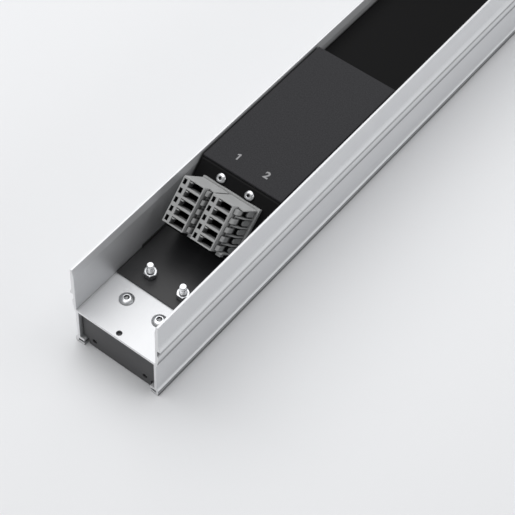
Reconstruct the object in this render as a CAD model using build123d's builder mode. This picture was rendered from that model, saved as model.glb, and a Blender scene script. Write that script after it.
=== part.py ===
from build123d import *
from math import cos, radians, sin, tan
import os

# Rack power busbar: an open aluminium channel rail with an infeed module and two five pole connectors.
# Millimetres. X across the rail, +Y along it away from the infeed end, +Z up, feet on Z = 0.
# A name that ends in _H is a height above the web's top face, one in _BACK a distance from the infeed end.

# Rail section, half of it. The upper and the lower wall have their thickness outside the clear width.
# What stands out from a wall or lies in it is measured from that wall's outside.
RAIL_LENGTH = 700.0
CLEAR_HALF = 39.0
UPPER_T = 3.35
LOWER_STEP = 0.85
LOWER_T = 2.6
WEB_Z = 41.4
WEB_T = 2.45
WALL_H = 48.4
TAPER_H = 41.0
TAPER = 1.4
COVE_H = 27.0
COVE_R = 14.0
RIDGE = 1.95
RIDGE_H = 19.8
RIDGE_LOW_H = 18.3
GROOVE = 1.25
GROOVE_LOW_H = 12.6
RIB_H = 10.3
RIB_LOW_H = 6.9
HIP = 1.05
HIP_H = -0.5
HIP_LOW_H = -1.9
NECK_H = -3.5
CORNER_R = 0.7
FLARE = 1.7
FLARE_Z = 7.4
FLARE_LOW_Z = 4.4
FOOT_REACH = 4.15
FOOT_R = 1.2
LIP_T = 2.3
SLOT_T = 2.5
SLOT_SIDE_T = 2.75
FIN_T = 2.5

# Fasteners
M6_R = 3.0
M6_HOLE_R = 3.3
M6_HEAD_R = 6.1
M6_HEAD_H = 2.7
M6_RIM = 0.6
M6_DOME_R = 8.3
M6_TOP_R = 2.7
M6_KEY = 4.0
M6_UNDER = 2.0
M4_R = 2.0
M4_HEAD_R = 4.2
M4_HEAD_H = 2.8
M4_RIM = 1.2
M4_DOME_R = 5.1
M4_TOP_R = 2.4
M4_KEY = 2.5
M4_LENGTH = 6.0
KEY_SHARE = 0.6
THREAD_GAP = 0.05
NUT_AF = 10.0
NUT_T = 5.2
NUT_FLAT_R = 4.7
NUT_BEVEL = 30.0
SCREW_X = 16.2
SCREW_BACK = 32.0
STUD_BACK = 60.3
STUD_TIP_H = 14.5
STUD_CHAMFER = 0.9
STUD_FOOT_R = 4.2
STUD_FOOT_T = 1.4
EARTH_HOLE_R = 2.4
EARTH_HOLE_BACK = 4.4

# End bracket
BRACKET_T = 2.0
BRACKET_BACK = 3.3
BRACKET_GAP = 1.25
BRACKET_FOOT_GAP = 1.9
BRACKET_FIN_GAP = 1.3
BRACKET_BOTTOM = 0.8
BRACKET_R = 2.0
BRACKET_LEG = 42.0
BRACKET_LEG_HALF = 30.0
BRACKET_HOLE_X = 25.2
BRACKET_HOLE_Z = 8.4
BRACKET_HOLE_R = 2.25

# Floor tray
TRAY_T = 1.5
TRAY_GAP = 0.5
TRAY_BACK = 46.6
TRAY_LIP_BACK = 77.0
TRAY_LIP_T = 0.5
TRAY_LIP = 2.5

# Infeed module
SLOPE = 45.0
COVER_H = 46.5
COVER_BACK = 151.0
COVER_LENGTH = 152.0
COVER_T = 2.0
COVER_GAP = 0.6
COVER_EDGE = 0.8
HOUSING_GAP = 0.2
HOUSING_T = 2.0
PANEL_T = 3.5
PANEL_SCREW_OFF = 1.0
PANEL_SCREW_GAP = 0.1

# Five pole connector, measured from its left edge, down the slope and out of the panel
POLES = 5
PITCH = 7.82
PLUG_W = 27.8
PLUG_DOWN = 14.8
PLUG_DEPTH = 35.0
FLANGE_T = 4.0
FLANGE_OVER = 1.7
FACE_W = 19.8
BODY_W = 20.6
SHELF = 27.5
RIB = 1.8
SOCKET_LEFT = 6.2
SOCKET_RIGHT = 18.9
SOCKET_DEPTH = 22.0
TEST_LEFT = 1.1
TEST_RIGHT = 3.9
TEST_H = 4.5
TEST_DEPTH = 8.0

# Clamp row along the connector's right side
SPINE_T = 1.0
SIDE_W = 26.2
WALL_T = 1.2
KINK = 17.0
LEVER_LEFT = 24.2
LEVER_T = 1.2
LEVER_TOP = 16.5
LEVER_W = 4.8
LEVER_R = 1.8
BUMP_RIGHT = 23.5
BUMP_W = 4.2
BUMP_LOW_R = 0.6
BUMP_LOW = 22.5
BUMP_TOP = 31.5
BUMP_R = 2.4
NOSE_RIGHT = 25.0
NOSE_LOW = 20.0
NOSE_TOP = 25.5
NOSE_L = 2.4

# Insert that fills the rail past the module
INSERT_BACK_GAP = 4.0
INSERT_END = 3.0
INSERT_H = 35.5
INSERT_T = 3.2

half_length = RAIL_LENGTH / 2
end_y = -half_length
upper_out = CLEAR_HALF + UPPER_T
lower_out = CLEAR_HALF + LOWER_STEP
lower_in = lower_out - LOWER_T
foot_out = lower_out + FLARE
foot_in = lower_in - FOOT_REACH
web_under = WEB_Z - WEB_T
tray_top = WEB_Z + TRAY_T
tray_half = CLEAR_HALF - TRAY_GAP
inner_half = tray_half - TRAY_LIP_T - HOUSING_GAP
slope_c = cos(radians(SLOPE))
slope_s = sin(radians(SLOPE))
cover_y = end_y + COVER_BACK
cover_z = WEB_Z + COVER_H
cover_end = cover_y + COVER_LENGTH
slot_top = LIP_T + SLOT_T
fin_top = slot_top + FIN_T
screw_y = end_y + SCREW_BACK
stud_y = end_y + STUD_BACK

# The slanted panel: X across, local Y up the slope, local Z out of it. Its origin is the cover's front edge.
panel = Plane(origin=(0, cover_y, cover_z), x_dir=(1, 0, 0), z_dir=(0, -slope_s, slope_c))

with BuildPart() as channel_rail:
    with BuildSketch(Plane.XZ):
        with BuildLine():
            Polyline((0, WEB_Z), (CLEAR_HALF, WEB_Z), (CLEAR_HALF, WEB_Z + TAPER_H),
                     (CLEAR_HALF + TAPER, WEB_Z + WALL_H), (upper_out, WEB_Z + WALL_H), (upper_out, WEB_Z + COVE_H))
            RadiusArc((upper_out, WEB_Z + COVE_H), (upper_out + RIDGE, WEB_Z + RIDGE_H), COVE_R)
            FilletPolyline((upper_out + RIDGE, WEB_Z + RIDGE_H), (upper_out + RIDGE, WEB_Z + RIDGE_LOW_H),
                           (upper_out - GROOVE, WEB_Z + RIDGE_LOW_H), (upper_out - GROOVE, WEB_Z + GROOVE_LOW_H),
                           (upper_out, WEB_Z + RIB_H), (upper_out, WEB_Z + RIB_LOW_H),
                           (lower_out + HIP, WEB_Z + HIP_H), (lower_out + HIP, WEB_Z + HIP_LOW_H),
                           (lower_out, WEB_Z + NECK_H), radius=CORNER_R)
            FilletPolyline((lower_out, WEB_Z + NECK_H), (lower_out, FLARE_Z), (foot_out, FLARE_LOW_Z),
                           (foot_out, 0), (foot_in, 0), radius=FOOT_R)
            Polyline((foot_in, 0), (foot_in, LIP_T), (foot_out - SLOT_SIDE_T, LIP_T),
                     (foot_out - SLOT_SIDE_T, slot_top), (foot_in, slot_top), (foot_in, fin_top),
                     (lower_in, fin_top), (lower_in, web_under), (0, web_under), (0, WEB_Z))
        make_face()
        mirror(about=Plane.YZ)
    extrude(amount=half_length, both=True)
    with BuildSketch(Plane.XY.offset(WEB_Z)):
        with Locations((-SCREW_X, screw_y), (SCREW_X, screw_y)):
            Circle(M6_HOLE_R)
        with Locations((-SCREW_X, stud_y), (SCREW_X, stud_y)):
            Circle(M6_R + THREAD_GAP)
        with Locations((0, end_y + EARTH_HOLE_BACK)):
            Circle(EARTH_HOLE_R)
    extrude(amount=-WEB_T, mode=Mode.SUBTRACT)

# Angle bracket under the web that closes the lower chamber behind the cut end. Its plate is notched round the feet.
bracket_y = end_y + BRACKET_BACK
bracket_half = lower_in - BRACKET_GAP
bracket_foot_half = foot_in - BRACKET_FOOT_GAP
notch_top = fin_top + BRACKET_FIN_GAP
with BuildPart() as end_bracket:
    with BuildSketch(Plane.XZ.offset(-bracket_y)):
        with BuildLine():
            FilletPolyline((0, BRACKET_BOTTOM), (bracket_foot_half, BRACKET_BOTTOM), (bracket_foot_half, notch_top),
                           (bracket_half, notch_top), (bracket_half, web_under), radius=[BRACKET_R] * 3)
            Polyline((bracket_half, web_under), (0, web_under), (0, BRACKET_BOTTOM))
        make_face()
        mirror(about=Plane.YZ)
        with Locations((-BRACKET_HOLE_X, BRACKET_HOLE_Z), (BRACKET_HOLE_X, BRACKET_HOLE_Z)):
            Circle(BRACKET_HOLE_R, mode=Mode.SUBTRACT)
    extrude(amount=-BRACKET_T)
    with BuildSketch(Plane.XY.offset(web_under)):
        with Locations((0, bracket_y)):
            Rectangle(2 * BRACKET_LEG_HALF, BRACKET_LEG, align=(Align.CENTER, Align.MIN))
        with Locations((-SCREW_X, screw_y), (SCREW_X, screw_y)):
            Circle(M6_R + THREAD_GAP, mode=Mode.SUBTRACT)
    extrude(amount=-BRACKET_T)


def button_screw(seat, thread_r, head_r, head_h, rim, dome_r, top_r, key, length):
    """A button head screw with a hexagon socket. Its head stands on the seat plane, its thread goes below.

    The dome is turned as two cones that follow its radius."""
    with BuildPart() as screw:
        with BuildSketch(Plane(origin=seat.origin, x_dir=seat.x_dir, z_dir=-seat.y_dir)):
            with BuildLine():
                dome = RadiusArc((head_r, rim), (top_r, head_h), -dome_r, mode=Mode.PRIVATE)
                Polyline((top_r, head_h), (0, head_h), (0, -length), (thread_r, -length), (thread_r, 0),
                         (head_r, 0), (head_r, rim), dome @ 0.5, close=True)
            make_face()
        revolve(axis=Axis(seat.origin, seat.z_dir))
        with BuildSketch(seat.offset(head_h)):
            RegularPolygon(key / 2, 6, major_radius=False)
        extrude(amount=-KEY_SHARE * head_h, mode=Mode.SUBTRACT)
    return screw.part


# Button head screws through the web into the bracket.
with BuildPart() as web_screw_left:
    add(button_screw(Plane((-SCREW_X, screw_y, WEB_Z)), M6_R, M6_HEAD_R, M6_HEAD_H, M6_RIM, M6_DOME_R, M6_TOP_R,
                     M6_KEY, WEB_T + BRACKET_T + M6_UNDER))

with BuildPart() as web_screw_right:
    add(web_screw_left.part.moved(Location((2 * SCREW_X, 0, 0))))

# Studs pressed into the web from below, each with a hexagon nut on the floor tray.
with BuildPart() as stud_left:
    with BuildSketch(Plane((-SCREW_X, stud_y, web_under))):
        Circle(M6_R)
    extrude(amount=WEB_T + STUD_TIP_H)
    chamfer(stud_left.faces().sort_by(Axis.Z)[-1].edges(), STUD_CHAMFER)
    with BuildSketch(Plane((-SCREW_X, stud_y, web_under))):
        Circle(STUD_FOOT_R)
    extrude(amount=-STUD_FOOT_T)

with BuildPart() as stud_right:
    add(stud_left.part.moved(Location((2 * SCREW_X, 0, 0))))

with BuildPart() as nut_left:
    with BuildSketch(Plane((-SCREW_X, stud_y, tray_top))):
        RegularPolygon(NUT_AF / 2, 6, major_radius=False)
        Circle(M6_R + THREAD_GAP, mode=Mode.SUBTRACT)
    extrude(amount=NUT_T)
    with BuildSketch(Plane((-SCREW_X, stud_y, tray_top), x_dir=(1, 0, 0), z_dir=(0, -1, 0))):
        with BuildLine():
            Polyline((0, 0), (2 * NUT_FLAT_R, 0), (2 * NUT_FLAT_R, NUT_T - NUT_FLAT_R * tan(radians(NUT_BEVEL))),
                     (NUT_FLAT_R, NUT_T), (0, NUT_T), close=True)
        make_face()
    revolve(axis=Axis((-SCREW_X, stud_y, 0), (0, 0, 1)), mode=Mode.INTERSECT)

with BuildPart() as nut_right:
    add(nut_left.part.moved(Location((2 * SCREW_X, 0, 0))))

# Sheet tray on the web, with low upturned sides from a little before the module.
tray_end = half_length - INSERT_END
with BuildPart() as floor_tray:
    with BuildSketch(Plane.XY.offset(WEB_Z)):
        with Locations((0, end_y + TRAY_BACK)):
            Rectangle(2 * tray_half, tray_end - end_y - TRAY_BACK, align=(Align.CENTER, Align.MIN))
        with Locations((-SCREW_X, stud_y), (SCREW_X, stud_y)):
            Circle(M6_HOLE_R, mode=Mode.SUBTRACT)
    extrude(amount=TRAY_T)
    with BuildSketch(Plane.XY.offset(tray_top)):
        with Locations((-tray_half + TRAY_LIP_T / 2, tray_end), (tray_half - TRAY_LIP_T / 2, tray_end)):
            Rectangle(TRAY_LIP_T, tray_end - end_y - TRAY_LIP_BACK, align=(Align.CENTER, Align.MAX))
    extrude(amount=TRAY_LIP)

# Module housing: a sheet box, open to the tray below, whose front is the slanted connector panel.
cover_under = cover_z - COVER_T
panel_foot_y = cover_y - (cover_z - tray_top) * slope_c / slope_s
panel_head_y = cover_y - COVER_T * slope_c / slope_s
panel_run = PANEL_T / slope_s
roof_run = HOUSING_T * slope_c / slope_s
with BuildPart() as module_housing:
    with BuildSketch(Plane.YZ):
        with BuildLine():
            Polyline((panel_foot_y, tray_top), (panel_head_y, cover_under), (cover_end, cover_under),
                     (cover_end, tray_top), close=True)
        make_face()
    extrude(amount=inner_half, both=True)
    with BuildSketch(Plane.YZ):
        with BuildLine():
            Polyline((panel_foot_y + panel_run, tray_top),
                     (panel_head_y + panel_run - roof_run, cover_under - HOUSING_T),
                     (cover_end - HOUSING_T, cover_under - HOUSING_T), (cover_end - HOUSING_T, tray_top), close=True)
        make_face()
    extrude(amount=inner_half - HOUSING_T, both=True, mode=Mode.SUBTRACT)
    panel_screw_x = -PLUG_W / 2 - PANEL_SCREW_OFF
    panel_screw_y = -(PLUG_DOWN - FLANGE_OVER - M4_HEAD_R - PANEL_SCREW_GAP)
    with BuildSketch(panel):
        with Locations((panel_screw_x, panel_screw_y), (panel_screw_x + PLUG_W, panel_screw_y)):
            Circle(M4_R + THREAD_GAP)
    extrude(amount=-2 * M4_LENGTH, mode=Mode.SUBTRACT)

# Cover plate on the module, its upper edges rounded.
with BuildPart() as module_cover:
    with BuildSketch(Plane.XY.offset(cover_under)):
        with Locations((0, cover_y)):
            Rectangle(2 * (CLEAR_HALF - COVER_GAP), COVER_LENGTH, align=(Align.CENTER, Align.MIN))
    extrude(amount=COVER_T)
    fillet(module_cover.faces().sort_by(Axis.Z)[-1].edges(), COVER_EDGE)

# Screws in the slanted panel, one above each connector and a little left of its middle.
with BuildPart() as panel_screw_left:
    seat = Plane(origin=panel.from_local_coords((panel_screw_x, panel_screw_y, 0)), x_dir=panel.x_dir,
                 z_dir=panel.z_dir)
    add(button_screw(seat, M4_R, M4_HEAD_R, M4_HEAD_H, M4_RIM, M4_DOME_R, M4_TOP_R, M4_KEY, M4_LENGTH))

with BuildPart() as panel_screw_right:
    add(panel_screw_left.part.moved(Location((PLUG_W, 0, 0))))

# Connector 1. Its sections lie square to the slope, with local X from its left edge and local Y out of the panel.
plug_length = POLES * PITCH
section = Plane(origin=panel.from_local_coords((-PLUG_W, -PLUG_DOWN, 0)), x_dir=panel.x_dir, z_dir=-panel.y_dir)
mouth = Plane(origin=panel.from_local_coords((-PLUG_W, -PLUG_DOWN, PLUG_DEPTH)), x_dir=panel.x_dir,
              z_dir=panel.z_dir)
poles = [-PITCH * (k + 0.5) for k in range(POLES)]
with BuildPart() as infeed_connector_1:
    with BuildSketch(section):
        with BuildLine():
            Polyline((0, 0), (0, PLUG_DEPTH), (FACE_W, PLUG_DEPTH), (BODY_W, SHELF), (BODY_W, 0), close=True)
        make_face()
    extrude(amount=plug_length)
    with BuildSketch(section.offset(-FLANGE_OVER)):
        Rectangle(PLUG_W, FLANGE_T, align=(Align.MIN, Align.MIN))
    extrude(amount=plug_length + 2 * FLANGE_OVER)
    with BuildSketch(mouth):
        with Locations(*[((SOCKET_LEFT + SOCKET_RIGHT) / 2, v) for v in poles]):
            Rectangle(SOCKET_RIGHT - SOCKET_LEFT, PITCH - RIB)
    extrude(amount=-SOCKET_DEPTH, mode=Mode.SUBTRACT)
    with BuildSketch(mouth):
        with Locations(*[((TEST_LEFT + TEST_RIGHT) / 2, v) for v in poles]):
            Rectangle(TEST_RIGHT - TEST_LEFT, TEST_H)
    extrude(amount=-TEST_DEPTH, mode=Mode.SUBTRACT)

# Clamp row 1: a channel beside the connector, with a wall between every two poles. At each pole a rounded
# clamp button leans out of the spine, and a lever with round shoulders stands across the channel from it.
lever_face = Plane(origin=section.from_local_coords((LEVER_LEFT, 0, 0)), x_dir=panel.y_dir, z_dir=panel.x_dir)
with BuildPart() as clamp_row_1:
    with BuildSketch(section):
        with BuildLine():
            Polyline((BODY_W, FLANGE_T), (BODY_W, SHELF), (BODY_W + SPINE_T, SHELF),
                     (BODY_W + SPINE_T, FLANGE_T + SPINE_T), (LEVER_LEFT + LEVER_T, FLANGE_T + SPINE_T),
                     (LEVER_LEFT + LEVER_T, FLANGE_T), close=True)
        make_face()
    extrude(amount=plug_length)
    with BuildSketch(lever_face) as levers:
        with Locations(*[(v, FLANGE_T) for v in poles]):
            Rectangle(LEVER_W, LEVER_TOP - FLANGE_T, align=(Align.CENTER, Align.MIN))
        fillet(levers.vertices().group_by(Axis.Y)[-1], LEVER_R)
    extrude(amount=LEVER_T)
    for k in range(1, POLES):
        with BuildSketch(section.offset(k * PITCH - WALL_T / 2)):
            with BuildLine():
                Polyline((BODY_W, FLANGE_T), (BODY_W, SHELF), (BODY_W + SPINE_T, SHELF), (SIDE_W, KINK),
                         (SIDE_W, FLANGE_T), close=True)
            make_face()
        extrude(amount=WALL_T)
    for start in (0, plug_length - WALL_T):
        with BuildSketch(section.offset(start)):
            with Locations((BODY_W, FLANGE_T)):
                Rectangle(SIDE_W - BODY_W, SHELF - FLANGE_T, align=(Align.MIN, Align.MIN))
        extrude(amount=WALL_T)
    for k in range(POLES):
        with BuildSketch(section.offset((k + 0.5) * PITCH - BUMP_W / 2)):
            with BuildLine():
                FilletPolyline((BODY_W, BUMP_LOW), (BUMP_RIGHT, BUMP_LOW), (BUMP_RIGHT, BUMP_TOP),
                               (BODY_W, BUMP_TOP), radius=[BUMP_LOW_R, BUMP_R])
                Line((BODY_W, BUMP_TOP), (BODY_W, BUMP_LOW))
            make_face()
        extrude(amount=BUMP_W)
    with BuildSketch(section.offset(plug_length)):
        with Locations((BODY_W, NOSE_LOW)):
            Rectangle(NOSE_RIGHT - BODY_W, NOSE_TOP - NOSE_LOW, align=(Align.MIN, Align.MIN))
    extrude(amount=NOSE_L)

# Connector 2 and clamp row 2, one connector's width to the right.
with BuildPart() as infeed_connector_2:
    add(infeed_connector_1.part.moved(Location((PLUG_W, 0, 0))))

with BuildPart() as clamp_row_2:
    add(clamp_row_1.part.moved(Location((PLUG_W, 0, 0))))

# Insulating insert from the module to the far end, open below.
insert_y = cover_end + INSERT_BACK_GAP
insert_top = WEB_Z + INSERT_H
with BuildPart() as rail_insert:
    with BuildSketch(Plane.XZ.offset(-insert_y)):
        with BuildLine():
            Polyline((0, insert_top), (inner_half, insert_top), (inner_half, tray_top),
                     (inner_half - INSERT_T, tray_top), (inner_half - INSERT_T, insert_top - INSERT_T),
                     (0, insert_top - INSERT_T), close=True)
        make_face()
        mirror(about=Plane.YZ)
    extrude(amount=insert_y - tray_end)

os.makedirs("parts", exist_ok=True)

channel_rail.part.label = "channel_rail"
export_step(channel_rail.part, "parts/channel_rail.step")
end_bracket.part.label = "end_bracket"
export_step(end_bracket.part, "parts/end_bracket.step")
web_screw_left.part.label = "web_screw_left"
export_step(web_screw_left.part, "parts/web_screw_left.step")
web_screw_right.part.label = "web_screw_right"
export_step(web_screw_right.part, "parts/web_screw_right.step")
stud_left.part.label = "stud_left"
export_step(stud_left.part, "parts/stud_left.step")
stud_right.part.label = "stud_right"
export_step(stud_right.part, "parts/stud_right.step")
nut_left.part.label = "nut_left"
export_step(nut_left.part, "parts/nut_left.step")
nut_right.part.label = "nut_right"
export_step(nut_right.part, "parts/nut_right.step")
floor_tray.part.label = "floor_tray"
export_step(floor_tray.part, "parts/floor_tray.step")
module_housing.part.label = "module_housing"
export_step(module_housing.part, "parts/module_housing.step")
module_cover.part.label = "module_cover"
export_step(module_cover.part, "parts/module_cover.step")
panel_screw_left.part.label = "panel_screw_left"
export_step(panel_screw_left.part, "parts/panel_screw_left.step")
panel_screw_right.part.label = "panel_screw_right"
export_step(panel_screw_right.part, "parts/panel_screw_right.step")
infeed_connector_1.part.label = "infeed_connector_1"
export_step(infeed_connector_1.part, "parts/infeed_connector_1.step")
clamp_row_1.part.label = "clamp_row_1"
export_step(clamp_row_1.part, "parts/clamp_row_1.step")
infeed_connector_2.part.label = "infeed_connector_2"
export_step(infeed_connector_2.part, "parts/infeed_connector_2.step")
clamp_row_2.part.label = "clamp_row_2"
export_step(clamp_row_2.part, "parts/clamp_row_2.step")
rail_insert.part.label = "rail_insert"
export_step(rail_insert.part, "parts/rail_insert.step")
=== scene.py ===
from math import atan2, hypot, pi, radians

import bmesh
import bpy
from mathutils import Matrix, Vector


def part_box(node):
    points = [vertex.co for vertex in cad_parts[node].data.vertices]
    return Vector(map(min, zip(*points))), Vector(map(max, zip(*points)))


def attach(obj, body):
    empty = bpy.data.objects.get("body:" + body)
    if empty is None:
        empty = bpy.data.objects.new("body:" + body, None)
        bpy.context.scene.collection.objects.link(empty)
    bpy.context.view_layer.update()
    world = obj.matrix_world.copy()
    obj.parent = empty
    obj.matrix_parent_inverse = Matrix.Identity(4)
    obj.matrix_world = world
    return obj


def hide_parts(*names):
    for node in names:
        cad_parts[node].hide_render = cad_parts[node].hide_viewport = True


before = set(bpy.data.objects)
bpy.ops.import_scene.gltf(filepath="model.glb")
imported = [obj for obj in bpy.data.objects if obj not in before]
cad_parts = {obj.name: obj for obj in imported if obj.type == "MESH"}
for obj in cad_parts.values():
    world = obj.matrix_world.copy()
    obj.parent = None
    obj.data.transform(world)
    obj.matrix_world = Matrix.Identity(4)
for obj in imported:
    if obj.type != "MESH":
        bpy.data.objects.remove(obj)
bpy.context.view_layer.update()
scene = bpy.context.scene
scene.view_settings.view_transform = "Standard"

# Channel rail
# One aluminium extrusion, natural anodised. The press leaves faint lines along it, anodising
# leaves it satin, and the saw leaves arcs on the two cut ends, whose edges are deburred.
MM = 0.001
SAME_POINT = 0.002 * MM
SAME_PLANE = radians(0.5)
BENT = radians(1)
ROUND = radians(26)
SHARP = radians(28)
ROUND_FACET = 3.0 * MM
DEBURR = 0.2 * MM


def linear(hex_colour):
    """An sRGB hex value as linear RGBA."""
    parts = [int(hex_colour[k:k + 2], 16) / 255 for k in (1, 3, 5)]
    return [p / 12.92 if p <= 0.04045 else ((p + 0.055) / 1.055) ** 2.4 for p in parts] + [1.0]


def add_node(tree, kind, inputs=None, **settings):
    """A node of that kind with its settings; an input takes a value or another node's output."""
    made = tree.nodes.new(kind)
    for name, value in settings.items():
        setattr(made, name, value)
    for name, value in (inputs or {}).items():
        if isinstance(value, bpy.types.NodeSocket):
            tree.links.new(value, made.inputs[name])
        else:
            made.inputs[name].default_value = value
    return made


def start_material(name, **shader_values):
    """A new material as (material, its node tree, its shader)."""
    material = bpy.data.materials.new(name)
    material.use_nodes = True
    tree = material.node_tree
    shader = tree.nodes["Principled BSDF"]
    for label, value in shader_values.items():
        shader.inputs[label.replace("_", " ")].default_value = value
    return material, tree, shader


def shade_corners(tree, tone, dark, reach, low, high):
    """That tone with painted shade: turned dark where the surface lies deep in a corner or hollow of that
    reach.
    """
    hollow = add_node(tree, "ShaderNodeAmbientOcclusion", {"Distance": reach}, samples=8)
    clear = add_node(tree, "ShaderNodeMapRange",
                     {"Value": hollow.outputs["AO"], "From Min": low, "From Max": high})
    shaded = add_node(tree, "ShaderNodeMix",
                      {"Factor": clear.outputs["Result"], "A": linear(dark), "B": tone}, data_type="RGBA")
    return shaded.outputs["Result"]


def merged_copy(node):
    """A bmesh copy of a CAD node, its loose triangles joined and its flat faces made whole."""
    shape = bmesh.new()
    shape.from_mesh(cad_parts[node].data)
    bmesh.ops.remove_doubles(shape, verts=shape.verts, dist=SAME_POINT)
    bmesh.ops.dissolve_limit(shape, angle_limit=SAME_PLANE, verts=shape.verts, edges=shape.edges)
    return shape


def soften(shape, width):
    """Rounds the sharp edges by that width and shades the narrow facets of round stretches smooth."""
    for face in shape.faces:
        narrow = face.calc_area() / max(edge.calc_length() for edge in face.edges) < ROUND_FACET
        face.smooth = narrow and any(BENT < edge.calc_face_angle(0) < ROUND for edge in face.edges)
    sharp = [edge for edge in shape.edges if edge.calc_face_angle(0) > SHARP]
    made = bmesh.ops.bevel(shape, geom=sharp, offset=width, offset_type="OFFSET", segments=2,
                           profile=0.5, affect="EDGES", clamp_overlap=False, material=-1)
    for face in made["faces"]:
        face.smooth = False


def place(shape, name, material, node=None):
    """Makes the shape an object on the root body that takes its finish from that slot."""
    mesh = bpy.data.meshes.new(name)
    shape.to_mesh(mesh)
    shape.free()
    mesh.materials.append(material)
    piece = bpy.data.objects.new(name, mesh)
    scene.collection.objects.link(piece)
    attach(piece, "root")
    if node:
        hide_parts(node)


def finish_copy(node, width, material):
    """Replaces a CAD node by its copy with softened edges and that material."""
    shape = merged_copy(node)
    soften(shape, width)
    place(shape, "finished_" + node, material, node)


# Die lines run along the rail and saw arcs across its ends. A wave texture of scale 1 repeats
# every 0.314 m. Both are drawn coarser than the real marks, so that they show.
DIE_LINE = 0.35 * MM
DIE_STRETCH = (1.0, 0.004, 1.0)
SATIN_GRAIN = 1.2 * MM
SAW_LINE = 0.5 * MM
SAW_CENTRE = (0.03, 0, -0.11)
WAVE_REPEAT = 0.314
END_FACING = 0.95
MARK_DEPTH = 0.05 * MM
anodised, tree, shader = start_material("anodised_extruded_aluminium", Metallic=0.7)
coordinates = add_node(tree, "ShaderNodeTexCoord")
where = coordinates.outputs["Object"]
along = add_node(tree, "ShaderNodeMapping", {"Vector": where, "Scale": DIE_STRETCH})
lines = add_node(tree, "ShaderNodeTexNoise",
                 {"Vector": along.outputs["Vector"], "Scale": 1 / DIE_LINE, "Detail": 3.0})
from_saw = add_node(tree, "ShaderNodeMapping", {"Vector": where, "Location": SAW_CENTRE})
arcs = add_node(tree, "ShaderNodeTexWave",
                {"Vector": from_saw.outputs["Vector"], "Scale": WAVE_REPEAT / SAW_LINE,
                 "Distortion": 1.5, "Detail": 2.0, "Detail Scale": 3.0},
                wave_type="RINGS", rings_direction="Y")
facing = add_node(tree, "ShaderNodeSeparateXYZ", {"Vector": coordinates.outputs["Normal"]})
tilt = add_node(tree, "ShaderNodeMath", {0: facing.outputs["Y"]}, operation="ABSOLUTE")
sawn = add_node(tree, "ShaderNodeMath", {0: tilt.outputs["Value"], 1: END_FACING},
                operation="GREATER_THAN").outputs["Value"]
marks = add_node(tree, "ShaderNodeMix",
                 {"Factor": sawn, "A": lines.outputs["Fac"], "B": arcs.outputs["Fac"]})
marks = marks.outputs["Result"]
tone = add_node(tree, "ShaderNodeMix",
                {"Factor": marks, "A": linear("#D4D5D7"), "B": linear("#DCDDDF")}, data_type="RGBA")
# The sawn ends are drawn near white: partly the paler tone of unanodised metal, partly painted light
# standing in for light falling on them from the front.
sawn_bare_and_lit = add_node(tree, "ShaderNodeMix",
                {"Factor": sawn, "A": tone.outputs["Result"], "B": linear("#F2F2F3")},
                data_type="RGBA")
# Painted shade: the rail turns dark grey in its corners and hollows within 5 mm.
painted_corner_shade = shade_corners(tree, sawn_bare_and_lit.outputs["Result"], "#6C6D6F", 5.0 * MM, 0.15, 0.75)
grain = add_node(tree, "ShaderNodeTexNoise", {"Vector": where, "Scale": 1 / SATIN_GRAIN, "Detail": 2.0})
rough = add_node(tree, "ShaderNodeMapRange",
                 {"Value": grain.outputs["Fac"], "To Min": 0.45, "To Max": 0.55})
tree.links.new(rough.outputs["Result"], shader.inputs["Roughness"])
relief = add_node(tree, "ShaderNodeBump", {"Height": marks, "Strength": 0.12, "Distance": MARK_DEPTH})
tree.links.new(relief.outputs["Normal"], shader.inputs["Normal"])

# The outer walls get painted shade: they turn darker in corners within 6 mm, and below 60 mm
# a dark grey band is painted where the outer face lies 41.0 to 42.35 mm out, in the long groove
# under each outer ridge and on the feet's outer faces, which draws dark lines along the walls.
WALL_OUT = 42.35 * MM
GROOVE_FLOOR = 41.0 * MM
GROOVE_TOP = 60.0 * MM
spot = add_node(tree, "ShaderNodeSeparateXYZ", {"Vector": where})
across = add_node(tree, "ShaderNodeMath", {0: spot.outputs["X"]}, operation="ABSOLUTE").outputs["Value"]
outside = add_node(tree, "ShaderNodeMath", {0: across, 1: GROOVE_FLOOR},
                   operation="GREATER_THAN").outputs["Value"]
# Painted shade on the outer walls, darker in corners within 6 mm.
outer_wall_shade = add_node(tree, "ShaderNodeMix",
                 {"Factor": outside, "A": painted_corner_shade,
                  "B": shade_corners(tree, painted_corner_shade, "#58595B", 6.0 * MM, 0.72, 0.95)}, data_type="RGBA")
skin = add_node(tree, "ShaderNodeMath", {0: outside, 1: sawn}, operation="SUBTRACT", use_clamp=True)
below = add_node(tree, "ShaderNodeMath", {0: spot.outputs["Z"], 1: GROOVE_TOP}, operation="LESS_THAN")
groove = add_node(tree, "ShaderNodeMath", {0: skin.outputs["Value"], 1: below.outputs["Value"]},
                  operation="MULTIPLY")
# Painted shade: a dark grey band where the outer face lies 41.0 to 42.35 mm out, below 60 mm.
depth = add_node(tree, "ShaderNodeMapRange",
                 {"Value": across, "From Min": WALL_OUT, "From Max": GROOVE_FLOOR,
                  "To Max": groove.outputs["Value"]})
lined = add_node(tree, "ShaderNodeMix",
                 {"Factor": depth.outputs["Result"], "A": outer_wall_shade.outputs["Result"],
                  "B": linear("#6A6B6D")}, data_type="RGBA")
tree.links.new(lined.outputs["Result"], shader.inputs["Base Color"])

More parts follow.
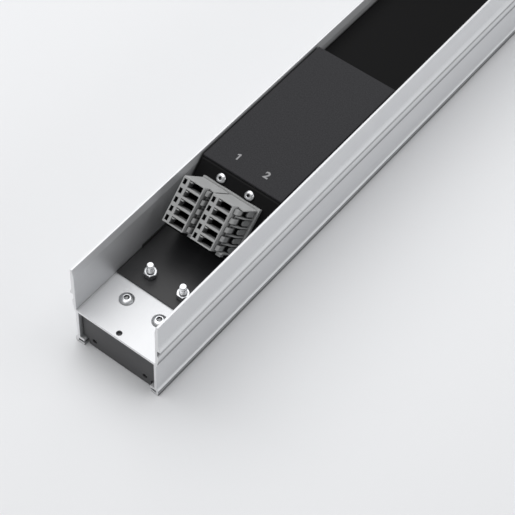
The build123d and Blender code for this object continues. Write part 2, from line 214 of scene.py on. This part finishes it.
# The cove above each ridge is hollow, on an arc whose centre lies outside the wall, and has
# steps fine enough to shade without a break.
COVE_TOP = 68.4 * MM
COVE_LOW = 61.2 * MM
COVE_R = 14.0 * MM
NEAR = 0.01 * MM
shape = merged_copy("channel_rail")
for side in (-1, 1):
    centre = Vector((side * (WALL_OUT + COVE_R), 0, COVE_TOP))
    steps = [edge for edge in shape.edges if abs(edge.verts[0].co.y - edge.verts[1].co.y) < NEAR
             and all(side * vert.co.x > WALL_OUT - NEAR and COVE_LOW - NEAR < vert.co.z < COVE_TOP + NEAR
                     for vert in edge.verts)]
    bmesh.ops.subdivide_edges(shape, edges=steps, cuts=1, use_grid_fill=True)
    for vert in shape.verts:
        if side * vert.co.x > WALL_OUT - NEAR and COVE_LOW + NEAR < vert.co.z < COVE_TOP - NEAR:
            spoke = Vector((vert.co.x, 0, vert.co.z)) - centre
            vert.co.xz = (centre + spoke.normalized() * COVE_R).xz
soften(shape, DEBURR)
place(shape, "finished_channel_rail", anodised, "channel_rail")

# Powder coated sheet
# The bracket, the tray and the module's cover and box are steel sheet with a fine textured
# powder coat, dark grey or black. Its grain scatters the light, and the matt blacks shine less.
COAT_GRAIN = 0.7 * MM
COVER_GRAIN = 1.0 * MM
SPECK_DEPTH = 0.1 * MM
SHEET_EDGE = 0.15 * MM
BOX_EDGE = 0.2 * MM


def speckle(name, dark, light, size, bump, roughness, hollow_shade=None, **shader_values):
    """A material in specks of that size between two tones, with painted shade that darkens it in any hollow
    places given.
    """
    material, tree, shader = start_material(name, Roughness=roughness, **shader_values)
    where = add_node(tree, "ShaderNodeTexCoord").outputs["Object"]
    specks = add_node(tree, "ShaderNodeTexNoise", {"Vector": where, "Scale": 1 / size, "Detail": 4.0})
    specks = specks.outputs["Fac"]
    tone = add_node(tree, "ShaderNodeMix", {"Factor": specks, "A": linear(dark), "B": linear(light)},
                    data_type="RGBA").outputs["Result"]
    tree.links.new(shade_corners(tree, tone, *hollow_shade) if hollow_shade else tone, shader.inputs["Base Color"])
    relief = add_node(tree, "ShaderNodeBump", {"Height": specks, "Strength": bump, "Distance": SPECK_DEPTH})
    tree.links.new(relief.outputs["Normal"], shader.inputs["Normal"])
    return material


cover_coat = speckle("grey_textured_powder_coat", "#161618", "#3A3A3D", COVER_GRAIN, 0.6, 0.8,
                     Specular_IOR_Level=0.3)
bracket_coat = speckle("grey_smooth_powder_coat", "#454546", "#4D4D4F", COAT_GRAIN, 0.15, 0.5)
tray_coat = speckle("black_powder_coat_on_the_tray", "#1A1A1C", "#222224", COAT_GRAIN, 0.15, 0.4)
box_coat = speckle("black_powder_coat_on_the_module", "#050506", "#0A0A0B", COAT_GRAIN, 0.15, 0.6,
                   Specular_IOR_Level=0.15)
finish_copy("module_cover", SHEET_EDGE, cover_coat)
finish_copy("end_bracket", SHEET_EDGE, bracket_coat)
finish_copy("floor_tray", SHEET_EDGE, tray_coat)
finish_copy("module_housing", BOX_EDGE, box_coat)

# Nuts
# Hexagon nuts, cold formed from steel with bright zinc plating, which gives a smooth bright
# surface that is a little cloudy. Painted shade turns it dark in its corners and hollows within 4 mm.
ZINC_CLOUD = 2.0 * MM
NUT_EDGE = 0.25 * MM
zinc, tree, shader = start_material("bright_zinc_plate_on_steel", Metallic=1.0)
where = add_node(tree, "ShaderNodeTexCoord").outputs["Object"]
cloud = add_node(tree, "ShaderNodeTexNoise", {"Vector": where, "Scale": 1 / ZINC_CLOUD, "Detail": 3.0})
cloud = cloud.outputs["Fac"]
rough = add_node(tree, "ShaderNodeMapRange", {"Value": cloud, "To Min": 0.22, "To Max": 0.36})
tree.links.new(rough.outputs["Result"], shader.inputs["Roughness"])
tone = add_node(tree, "ShaderNodeMix", {"Factor": cloud, "A": linear("#D4D6D9"), "B": linear("#E0E1E3")},
                data_type="RGBA")
# Painted shade: dark in corners and hollows within 4 mm.
painted_corner_shade = shade_corners(tree, tone.outputs["Result"], "#28282A", 4.0 * MM, 0.3, 0.75)
tree.links.new(painted_corner_shade, shader.inputs["Base Color"])
for node in ("nut_left", "nut_right"):
    finish_copy(node, NUT_EDGE, zinc)

# Threaded studs
# M6 studs pressed into the web, with a round foot below it and a rolled thread that
# ends in a chamfered tip. Zinc plated like the nuts. A thread's depths are shares of its pitch.
M6 = (3.0 * MM, 1.0 * MM)
M4 = (2.0 * MM, 0.7 * MM)
ROOT_DEPTH = 0.61
CREST_DEPTH = 0.03
THREAD_STEPS = 32
TIP_CHAMFER = 0.6 * MM
FOOT_T = 1.4 * MM
FOOT_FACETS = 48


def threaded_rod(size, length):
    """A rolled thread that stands on the origin, of that (radius, pitch), with a chamfered tip."""
    radius, pitch = size
    root = radius - ROOT_DEPTH * pitch
    crest = radius - CREST_DEPTH * pitch
    shape = bmesh.new()
    outline = ((root, 0.0), (root, 0.25), (crest, 0.56), (crest, 0.69), (root, 1.0))
    points = [shape.verts.new((r, 0, (turn - 1) * pitch)) for r, turn in outline]
    flanks = [shape.edges.new(pair) for pair in zip(points, points[1:])]
    turns = int(length / pitch) + 2
    bmesh.ops.spin(shape, geom=points + flanks, axis=(0, 0, 1), dvec=(0, 0, pitch / THREAD_STEPS),
                   angle=2 * pi * turns, steps=THREAD_STEPS * turns)
    bmesh.ops.remove_doubles(shape, verts=shape.verts, dist=SAME_POINT)
    for height, up in ((0, -1), (length, 1)):
        bmesh.ops.bisect_plane(shape, geom=shape.verts[:] + shape.edges[:] + shape.faces[:],
                               plane_co=(0, 0, height), plane_no=(0, 0, up), clear_outer=True)
    for vert in shape.verts:
        reach = crest - max(0, vert.co.z - length + TIP_CHAMFER)
        vert.co.xy *= min(1, reach / hypot(vert.co.x, vert.co.y))
    bmesh.ops.holes_fill(shape, edges=[edge for edge in shape.edges if edge.is_boundary])
    return shape


for side in ("left", "right"):
    low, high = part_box("stud_" + side)
    foot_r = (high[0] - low[0]) / 2
    seat = ((low[0] + high[0]) / 2, (low[1] + high[1]) / 2, low[2] + FOOT_T)
    shape = threaded_rod(M6, high[2] - low[2] - FOOT_T)
    bmesh.ops.create_cone(shape, cap_ends=True, segments=FOOT_FACETS, radius1=foot_r, radius2=foot_r,
                          depth=FOOT_T, matrix=Matrix.Translation((0, 0, -FOOT_T / 2)))
    bmesh.ops.recalc_face_normals(shape, faces=shape.faces)
    bmesh.ops.translate(shape, verts=shape.verts, vec=seat)
    place(shape, "threaded_stud_" + side, zinc, "stud_" + side)

# Button head screws
# Two M6 screws hold the web on the bracket and two M4 screws hold the slanted panel. They are cold
# headed, with a domed head and a rolled thread. The hexagon socket's mouth and drill point are
# shares of its key's width, and its depth is a share of the head's height.
WEB_HEAD = {"head_r": 6.1 * MM, "head_h": 2.7 * MM, "rim": 0.6 * MM, "top_r": 2.7 * MM, "key": 4.0 * MM}
PANEL_HEAD = {"head_r": 4.2 * MM, "head_h": 2.8 * MM, "rim": 1.2 * MM, "top_r": 2.4 * MM, "key": 2.5 * MM}
PANEL_SCREW_DOWN = 8.8 * MM
PANEL_SCREW_L = 6.0 * MM
NECK = 0.3 * MM
RIM_CHAMFER = 0.2 * MM
MOUTH_R = 0.64
MOUTH_CHAMFER = 0.15 * MM
SOCKET_DEPTH = 0.7
DRILL_POINT = 0.15
DOME_STEPS = 8
HEAD_FACETS = 48
HEAD_BENT = radians(0.5)
HEAD_ROUND = radians(20)
cover_low, cover_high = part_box("module_cover")
slope = Matrix.Translation((0, cover_low[1], cover_high[2])) @ Matrix.Rotation(radians(45), 4, "X")


def button_screw(node, seat, size, length, head_r, head_h, rim, top_r, key):
    """A screw whose head stands on the seat and whose thread goes that far below it."""
    shape = threaded_rod(size, length + NECK)
    bmesh.ops.rotate(shape, verts=shape.verts, matrix=Matrix.Rotation(pi, 3, "X"))
    bmesh.ops.translate(shape, verts=shape.verts, vec=(0, 0, NECK))
    dome_z = (head_r ** 2 - top_r ** 2 + rim ** 2 - head_h ** 2) / (2 * (rim - head_h))
    dome_r = hypot(head_r, rim - dome_z)
    heights = [rim + (head_h - rim) * k / DOME_STEPS for k in range(DOME_STEPS + 1)]
    outline = [(size[0] / 2, 0), (head_r - RIM_CHAMFER, 0), (head_r, RIM_CHAMFER)]
    outline += [((dome_r ** 2 - (z - dome_z) ** 2) ** 0.5, z) for z in heights]
    outline += [(MOUTH_R * key, head_h)]
    points = [shape.verts.new((r, 0, z)) for r, z in outline]
    sides = [shape.edges.new(pair) for pair in zip(points, points[1:])]
    bmesh.ops.spin(shape, geom=points + sides, axis=(0, 0, 1), angle=2 * pi, steps=HEAD_FACETS,
                   use_merge=True)
    brim = [edge for edge in shape.edges if edge.is_boundary and edge.verts[0].co.z > head_h - NEAR]
    hexagon = bmesh.ops.create_circle(shape, segments=6, radius=key / 3 ** 0.5,
                                      matrix=Matrix.Translation((0, 0, head_h - MOUTH_CHAMFER)))["verts"]
    sides = list({edge for vert in hexagon for edge in vert.link_edges})
    bmesh.ops.subdivide_edges(shape, edges=sides, cuts=HEAD_FACETS // 6 - 1)
    mouth = [edge for edge in shape.edges if edge.is_wire]
    bmesh.ops.bridge_loops(shape, edges=brim + mouth)
    deeper = bmesh.ops.extrude_edge_only(shape, edges=mouth)["geom"]
    bottom = [part for part in deeper if isinstance(part, bmesh.types.BMVert)]
    bmesh.ops.translate(shape, verts=bottom, vec=(0, 0, -SOCKET_DEPTH * head_h))
    floor_face = shape.faces.new(sorted(bottom, key=lambda vert: atan2(vert.co.y, vert.co.x)))
    shape.normal_update()
    bmesh.ops.poke(shape, faces=[floor_face], offset=-DRILL_POINT * key)
    bmesh.ops.holes_fill(shape, edges=[edge for edge in shape.edges if edge.is_boundary])
    bmesh.ops.recalc_face_normals(shape, faces=shape.faces)
    for face in shape.faces:
        face.smooth = face.calc_center_median().z > RIM_CHAMFER / 2 and any(
            HEAD_BENT < edge.calc_face_angle(0) < HEAD_ROUND for edge in face.edges)
    bmesh.ops.transform(shape, matrix=seat, verts=shape.verts)
    place(shape, "button_screw_" + node, zinc, node)


for side in ("left", "right"):
    low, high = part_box("web_screw_" + side)
    under_head = high[2] - WEB_HEAD["head_h"]
    seat = Matrix.Translation(((low[0] + high[0]) / 2, (low[1] + high[1]) / 2, under_head))
    button_screw("web_screw_" + side, seat, M6, under_head - low[2], **WEB_HEAD)
    low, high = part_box("panel_screw_" + side)
    seat = slope @ Matrix.Translation(((low[0] + high[0]) / 2, -PANEL_SCREW_DOWN, 0))
    button_screw("panel_screw_" + side, seat, M4, PANEL_SCREW_L, **PANEL_HEAD)

# Connectors and their clamp rows
# Five pole sockets and the strips of clamp levers beside them, moulded in grey polyamide
# with a faint spark eroded texture and small mould radii on every edge.
MOULD_GRAIN = 0.3 * MM
MOULD_EDGE = 0.12 * MM
# Painted shade turns the moulding near black in its sockets, gaps and corners within 6 mm.
polyamide = speckle("moulded_grey_polyamide", "#A2A3A3", "#AFB0B0", MOULD_GRAIN, 0.15, 0.5,
                    hollow_shade=("#1A1A1B", 6.0 * MM, 0.2, 0.75))
for node in ("infeed_connector_1", "infeed_connector_2", "clamp_row_1", "clamp_row_2"):
    finish_copy(node, MOULD_EDGE, polyamide)

# Keys, contacts and painted shade in the sockets
# Each socket has a coding key at its upper left, moulded with the body, and behind its mouth
# a tinned fork contact. Black cups deep in each socket and test port, and black blocks under
# each clamp button, are painted shade: they stand in for the shade deep in these openings.
POLES = 5
POLE_PITCH = 7.82 * MM
PLUG_DOWN = 14.8 * MM
MOUTH = 35.0 * MM
SOCKET = (6.2 * MM, 18.9 * MM)
SOCKET_HALF = 3.01 * MM
SOCKET_FLOOR = 13.0 * MM
TEST_PORT = (1.1 * MM, 3.9 * MM)
TEST_HALF = 2.25 * MM
TEST_FLOOR = 27.0 * MM
CHAMBER_DOWN = 9.0 * MM
SKIN = 0.3 * MM
KEY_W = 2.6 * MM
KEY_T = 1.0 * MM
KEY_SLIT = 0.7 * MM
KEY_DOWN = 0.3 * MM
KEY_EDGE = 0.15 * MM
CHANNEL = (21.6 * MM, 24.2 * MM)
CAGE = (5.0 * MM, 15.0 * MM)
CAGE_HALF = 3.2 * MM
CONTACT = (14.3 * MM, 17.5 * MM)
LEAVES = (-1.1 * MM, 0.7 * MM)
LEAF_T = 0.5 * MM
LEAF_EDGE = 0.12 * MM
TIN_CLOUD = 1.0 * MM


def slope_block(shape, x, v, w):
    """A block on the slanted panel between two values across, up the slope and out of it."""
    middle = Vector((sum(x), sum(v), sum(w))) / 2
    spread = Matrix.Diagonal((x[1] - x[0], v[1] - v[0], w[1] - w[0], 1.0))
    spot = slope @ Matrix.Translation(middle) @ spread
    return bmesh.ops.create_cube(shape, size=1.0, matrix=spot)["verts"]


def slope_cup(shape, x, v, w):
    """A thin walled cup on the slanted panel, open outwards."""
    verts = slope_block(shape, x, v, w)
    faces = {face for vert in verts for face in vert.link_faces}
    mouth = max(faces, key=lambda face: (slope.inverted() @ face.calc_center_median()).z)
    bmesh.ops.delete(shape, geom=[mouth], context="FACES_ONLY")
    walls = list({face for vert in verts for face in vert.link_faces})
    bmesh.ops.solidify(shape, geom=walls, thickness=SKIN)


# Painted shade: matt near-black cups and blocks that darken the sockets, test ports and clamp channels.
socket_shade_black = speckle("black_stand_in_for_shade_in_the_sockets", "#070708", "#0C0C0D", MOULD_GRAIN,
                        0.15, 0.6, Specular_IOR_Level=0.3)

# Tin plate is a soft, slightly cloudy white metal.
tinned, tree, shader = start_material("tin_plate_on_pressed_copper", Metallic=1.0)
where = add_node(tree, "ShaderNodeTexCoord").outputs["Object"]
cloud = add_node(tree, "ShaderNodeTexNoise", {"Vector": where, "Scale": 1 / TIN_CLOUD, "Detail": 2.0})
cloud = cloud.outputs["Fac"]
tone = add_node(tree, "ShaderNodeMix", {"Factor": cloud, "A": linear("#A8A8A6"), "B": linear("#C2C1BD")},
                data_type="RGBA")
tree.links.new(tone.outputs["Result"], shader.inputs["Base Color"])
rough = add_node(tree, "ShaderNodeMapRange", {"Value": cloud, "To Min": 0.3, "To Max": 0.45})
tree.links.new(rough.outputs["Result"], shader.inputs["Roughness"])

for number in ("1", "2"):
    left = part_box("infeed_connector_" + number)[0][0]
    keys, chambers, contacts = bmesh.new(), bmesh.new(), bmesh.new()
    for pole in range(POLES):
        row = -PLUG_DOWN - POLE_PITCH * (pole + 0.5)
        key_low = row + SOCKET_HALF - KEY_SLIT - KEY_T
        slope_block(keys, (left + SOCKET[0], left + SOCKET[0] + KEY_W), (key_low, key_low + KEY_T),
                    (SOCKET_FLOOR, MOUTH - KEY_DOWN))
        slope_cup(chambers, (left + SOCKET[0], left + SOCKET[1]), (row - SOCKET_HALF, row + SOCKET_HALF),
                  (SOCKET_FLOOR, MOUTH - CHAMBER_DOWN))
        slope_cup(chambers, (left + TEST_PORT[0], left + TEST_PORT[1]), (row - TEST_HALF, row + TEST_HALF),
                  (TEST_FLOOR, MOUTH - CHAMBER_DOWN / 2))
        slope_block(chambers, (left + CHANNEL[0], left + CHANNEL[1]), (row - CAGE_HALF, row + CAGE_HALF),
                    CAGE)
        for leaf in LEAVES:
            slope_block(contacts, (left + CONTACT[0], left + CONTACT[1]),
                        (row + leaf, row + leaf + LEAF_T), (SOCKET_FLOOR + SKIN, MOUTH - CHAMBER_DOWN))
    soften(keys, KEY_EDGE)
    soften(contacts, LEAF_EDGE)
    place(keys, "coding_keys_" + number, polyamide)
    place(chambers, "socket_shade_linings_" + number, socket_shade_black)
    place(contacts, "fork_contacts_" + number, tinned)

# Insert in the rest of the rail
# An insulating insert moulded in black polyamide, which fills the rail between its walls past
# the module. It comes from the mould nearly matt, so it shows as a deep black.
INSERT_GRAIN = 0.4 * MM
INSERT_EDGE = 0.4 * MM
insert_black = speckle("moulded_black_polyamide", "#050506", "#09090A", INSERT_GRAIN, 0.1, 0.6,
                       Specular_IOR_Level=0.1)
finish_copy("rail_insert", INSERT_EDGE, insert_black)

# Numbers on the cover
# A 1 and a 2 that tell the connectors apart, screen printed on the coat beside each as a thin
# layer of matt grey ink. The 1 is an outline in shares of its height, the 2 comes from a font.
NUMBER_HEIGHT = 6.6 * MM
INK_T = 0.04 * MM
INK_GRAIN = 0.5 * MM
ONE = ((0, 0), (0.2, 0), (0.2, 1), (0.04, 1), (-0.24, 0.84), (-0.24, 0.66), (0, 0.76))
ONE_SPOT = (-15.4 * MM, 12.0 * MM)
TWO_SPOT = (13.7 * MM, 11.3 * MM)
TWO_BOLDER = 0.32 * MM
FONT_CAP = 0.7
ink = speckle("light_grey_screen_ink", "#838385", "#969698", INK_GRAIN, 0.05, 0.6)
shape = bmesh.new()
face = shape.faces.new([shape.verts.new((NUMBER_HEIGHT * x, NUMBER_HEIGHT * y, INK_T)) for x, y in ONE])
lower = bmesh.ops.extrude_face_region(shape, geom=[face])["geom"]
lower = [part for part in lower if isinstance(part, bmesh.types.BMVert)]
bmesh.ops.translate(shape, verts=lower, vec=(0, 0, -INK_T))
bmesh.ops.recalc_face_normals(shape, faces=shape.faces)
bmesh.ops.translate(shape, verts=shape.verts,
                    vec=(ONE_SPOT[0], cover_low[1] + ONE_SPOT[1], cover_high[2]))
place(shape, "number_1", ink)

curve = bpy.data.curves.new("number_2", "FONT")
curve.body = "2"
curve.size = NUMBER_HEIGHT / FONT_CAP
curve.offset = TWO_BOLDER
curve.extrude = INK_T / 2
curve.align_x = "CENTER"
holder = bpy.data.objects.new("number_2_outline", curve)
scene.collection.objects.link(holder)
bpy.context.view_layer.update()
mesh = bpy.data.meshes.new_from_object(holder)
bpy.data.objects.remove(holder)
mesh.transform(Matrix.Translation((TWO_SPOT[0], cover_low[1] + TWO_SPOT[1], cover_high[2] + INK_T / 2)))
shape = bmesh.new()
shape.from_mesh(mesh)
place(shape, "number_2", ink)

# Floor
# A plain pale sheet of studio paper, wider than the camera's view, which keeps the shadow.
FLOOR_HALF = 6.0
floor_mesh = bpy.data.meshes.new("studio_floor")
shape = bmesh.new()
bmesh.ops.create_grid(shape, x_segments=1, y_segments=1, size=FLOOR_HALF)
shape.to_mesh(floor_mesh)
shape.free()
floor = bpy.data.objects.new("studio_floor", floor_mesh)
scene.collection.objects.link(floor)
paper, tree, shader = start_material("white_studio_paper", Roughness=0.9)
shader.inputs["Base Color"].default_value = linear("#E6E7E9")
floor_mesh.materials.append(paper)

# Studio light
# A wide softbox above the object and left of it, which the level faces mirror towards the
# camera, a smaller one far to the right for the ribs of the outer wall, and a pale room.
ROOM_WHITE = (1, 1, 1, 1)
ROOM_LIGHT = 0.28
AIM = Vector((0, -0.2, 0.05))
SOFTBOXES = {"softbox_above": (Vector((-0.5, 0.0, 1.5)), 2.6, 36.5),
             "softbox_right": (Vector((2.1, 0.62, 0.65)), 1.35, 13.5)}
world = bpy.data.worlds.new("pale_room")
scene.world = world
world.use_nodes = True
world.node_tree.nodes["Background"].inputs["Color"].default_value = ROOM_WHITE
world.node_tree.nodes["Background"].inputs["Strength"].default_value = ROOM_LIGHT
for name, (stand, size, power) in SOFTBOXES.items():
    lamp = bpy.data.lights.new(name, "AREA")
    lamp.size = size
    lamp.energy = power
    holder = bpy.data.objects.new(name, lamp)
    holder.location = stand
    holder.rotation_euler = (AIM - stand).to_track_quat("-Z", "Y").to_euler()
    scene.collection.objects.link(holder)

# Camera
# A long lens above the cut end and right of it, placed and turned by fitting the rail's edges
# to those in the photograph.
CAMERA_LENS = 119.31
CAMERA_SPOT = (0.506693, -0.882785, 1.095515)
CAMERA_TURN = (37.5007, -1.8578, 37.9119)
camera = bpy.data.cameras.new("camera")
camera.lens = CAMERA_LENS
camera.sensor_width = 36.0
camera_holder = bpy.data.objects.new("camera", camera)
camera_holder.location = CAMERA_SPOT
camera_holder.rotation_euler = [radians(turn) for turn in CAMERA_TURN]
scene.collection.objects.link(camera_holder)
scene.camera = camera_holder
